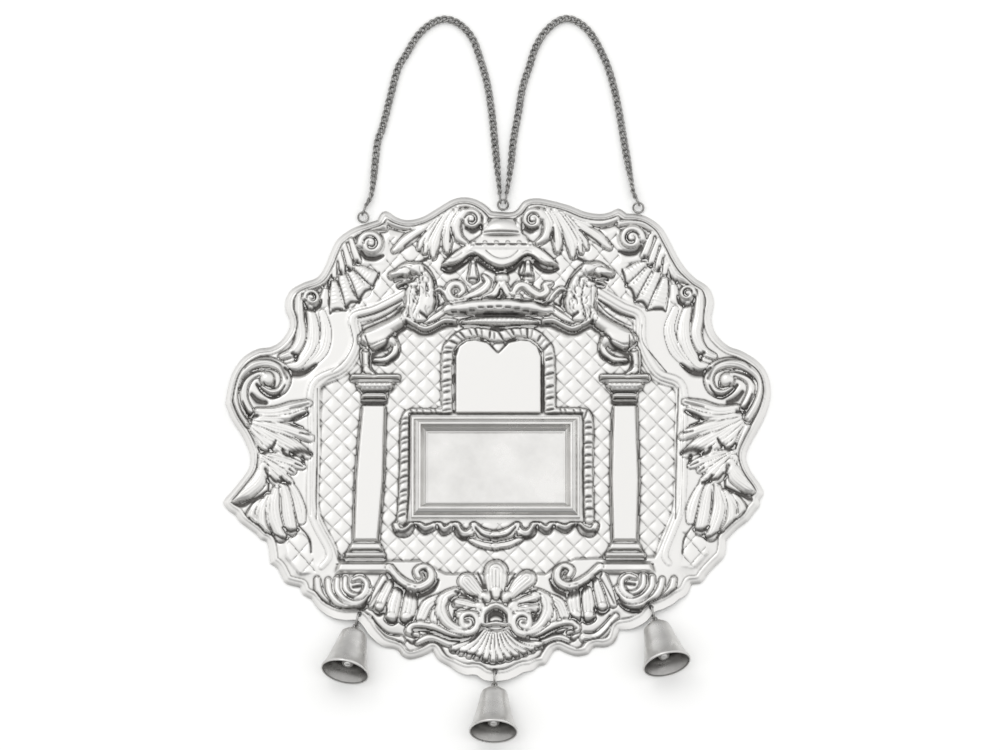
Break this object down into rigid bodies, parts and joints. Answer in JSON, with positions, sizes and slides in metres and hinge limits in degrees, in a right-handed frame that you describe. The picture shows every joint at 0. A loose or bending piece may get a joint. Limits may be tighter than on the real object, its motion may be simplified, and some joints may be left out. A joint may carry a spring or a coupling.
{
  "type": "torah shield breastplate",
  "caption": "Embossed silver breastplate with columns, lions and a crown, a framed plaque, hanging bells and curb chains to wear it by.",
  "frame": {"origin": "on the table under the middle of the whole object, chains and bells counted", "axes": "+X to the right seen from the front, +Y up the shield as worn, +Z out of its face; it lies on its back"},
  "size_m": [0.2706, 0.3704, 0.0236],
  "materials": {
    "embossed_silver": "polished silver sheet, worked in relief, softly worn",
    "silver_wire": "drawn silver wire, bright",
    "satin_silver": "cast silver, satin and lightly tarnished",
    "oxidised_steel": "darkened steel chain wire, worn bright on the edges"
  },
  "bodies": {
    "shield": {"shield_plate": "embossed_silver", "plaque_frame": "embossed_silver", "plaque_plate": "embossed_silver", "left_eye": "silver_wire", "centre_eye": "silver_wire", "right_eye": "silver_wire"},
    "left_chain": {"left_chain": "oxidised_steel", "left_chain_outer_link": "oxidised_steel", "left_chain_inner_link": "oxidised_steel"},
    "right_chain": {"right_chain": "oxidised_steel", "right_chain_outer_link": "oxidised_steel", "right_chain_inner_link": "oxidised_steel"},
    "left_bell_ring": {"left_bell_ring": "silver_wire"},
    "left_bell": {"left_bell": "satin_silver", "left_bell_staple": "silver_wire"},
    "left_clapper": {"left_clapper": "satin_silver"},
    "centre_bell_ring": {"centre_bell_ring": "silver_wire"},
    "centre_bell": {"centre_bell": "satin_silver", "centre_bell_staple": "silver_wire"},
    "centre_clapper": {"centre_clapper": "satin_silver"},
    "right_bell_ring": {"right_bell_ring": "silver_wire"},
    "right_bell": {"right_bell": "satin_silver", "right_bell_staple": "silver_wire"},
    "right_clapper": {"right_clapper": "satin_silver"}
  },
  "joints": [
    {"name": "left_chain_lift", "type": "hinge", "parent": "shield", "child": "left_chain", "pos_m": [-0.0666, 0.0833, 0.00232], "axis": [0.9961, 0.0879, 0], "range_deg": [0, 120]},
    {"name": "right_chain_lift", "type": "hinge", "parent": "shield", "child": "right_chain", "pos_m": [0.00421, 0.08931, 0.00232], "axis": [0.9998, -0.0179, 0], "range_deg": [0, 120]},
    {"name": "left_ring_swing", "type": "hinge", "parent": "shield", "child": "left_bell_ring", "pos_m": [-0.06834, -0.12097, 0.0024], "axis": [-0.9781, 0.2079, 0], "range_deg": [-50, 0]},
    {"name": "left_bell_swing", "type": "hinge", "parent": "left_bell_ring", "child": "left_bell", "pos_m": [-0.06973, -0.1275, 0.00491], "axis": [0.047, 0.221, 0.9741], "range_deg": [-30, 4]},
    {"name": "left_clapper_swing", "type": "hinge", "parent": "left_bell", "child": "left_clapper", "pos_m": [-0.07098, -0.1334, 0.00662], "axis": [-0.9781, 0.2079, 0], "range_deg": [0, 47]},
    {"name": "centre_ring_swing", "type": "hinge", "parent": "shield", "child": "centre_bell_ring", "pos_m": [-0.00136, -0.15022, 0.0024], "axis": [-0.9998, 0.0175, 0], "range_deg": [-50, 0]},
    {"name": "centre_bell_swing", "type": "hinge", "parent": "centre_bell_ring", "child": "centre_bell", "pos_m": [-0.00147, -0.1569, 0.00491], "axis": [0.0039, 0.2259, 0.9741], "range_deg": [-30, 30]},
    {"name": "centre_clapper_swing", "type": "hinge", "parent": "centre_bell", "child": "centre_clapper", "pos_m": [-0.00158, -0.16293, 0.00662], "axis": [-0.9998, 0.0175, 0], "range_deg": [0, 47]},
    {"name": "right_ring_swing", "type": "hinge", "parent": "shield", "child": "right_bell_ring", "pos_m": [0.0758, -0.1174, 0.0024], "axis": [-0.9703, -0.2419, 0], "range_deg": [-50, 0]},
    {"name": "right_bell_swing", "type": "hinge", "parent": "right_bell_ring", "child": "right_bell", "pos_m": [0.07741, -0.12389, 0.00491], "axis": [-0.0547, 0.2193, 0.9741], "range_deg": [-25, 25]},
    {"name": "right_clapper_swing", "type": "hinge", "parent": "right_bell", "child": "right_clapper", "pos_m": [0.07887, -0.12974, 0.00662], "axis": [-0.9703, -0.2419, 0], "range_deg": [0, 47]}
  ]
}
